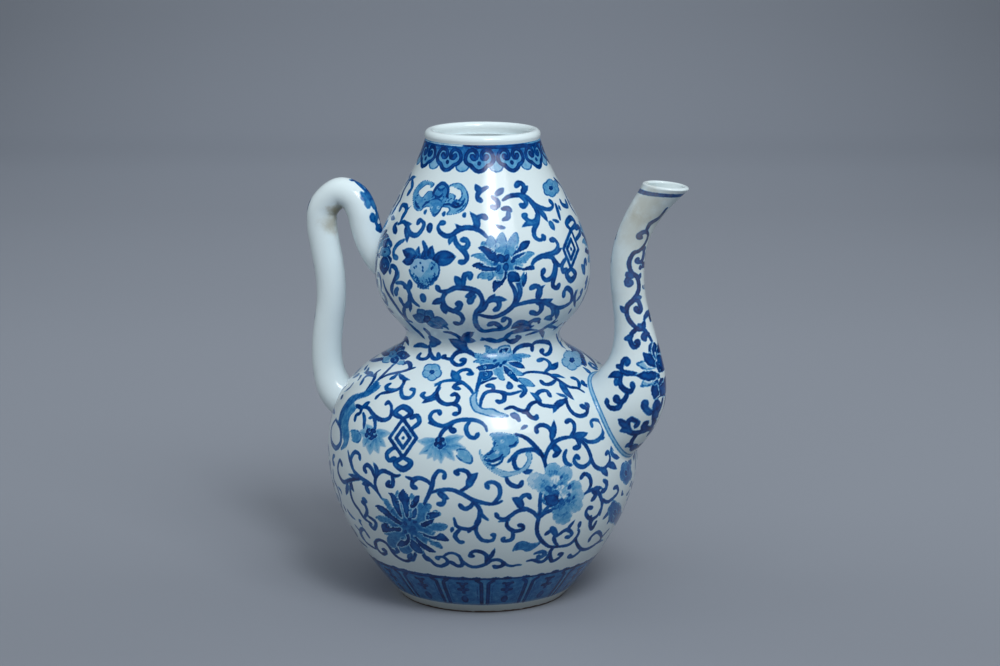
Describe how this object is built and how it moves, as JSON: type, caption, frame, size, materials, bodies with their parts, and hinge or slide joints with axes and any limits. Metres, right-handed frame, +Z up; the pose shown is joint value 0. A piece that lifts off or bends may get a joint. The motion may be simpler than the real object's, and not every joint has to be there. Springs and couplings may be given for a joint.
{
  "type": "double gourd ewer",
  "caption": "Porcelain ewer with a double-gourd body, a curved pouring spout and a looped handle, painted in blue under a clear glaze.",
  "frame": {"origin": "on the body's axis, at the plane that the foot ring stands on", "axes": "+Z up along the body's axis, +X towards the spout, the handle at -X"},
  "size_m": [0.187, 0.1456, 0.2195],
  "materials": {
    "glazed_porcelain": "clear glossy glaze, bluish white, over painting in cobalt blue",
    "fired_slip": "fired porcelain slip, glazed over where it shows"
  },
  "bodies": {
    "root": {"lower_bulb_base": "glazed_porcelain", "lower_bulb_shoulder": "glazed_porcelain", "upper_bulb_base": "glazed_porcelain", "upper_bulb_neck": "glazed_porcelain", "mouth_lip": "glazed_porcelain", "spout_front_half": "glazed_porcelain", "spout_back_half": "glazed_porcelain", "handle": "glazed_porcelain", "belly_slip_joint": "fired_slip", "waist_slip_joint": "fired_slip", "upper_belly_slip_joint": "fired_slip", "lip_slip_joint": "fired_slip", "spout_inner_seam": "fired_slip", "spout_outer_seam": "fired_slip", "spout_root_collar": "fired_slip", "handle_lower_collar": "fired_slip", "handle_upper_collar": "fired_slip"}
  },
  "joints": []
}
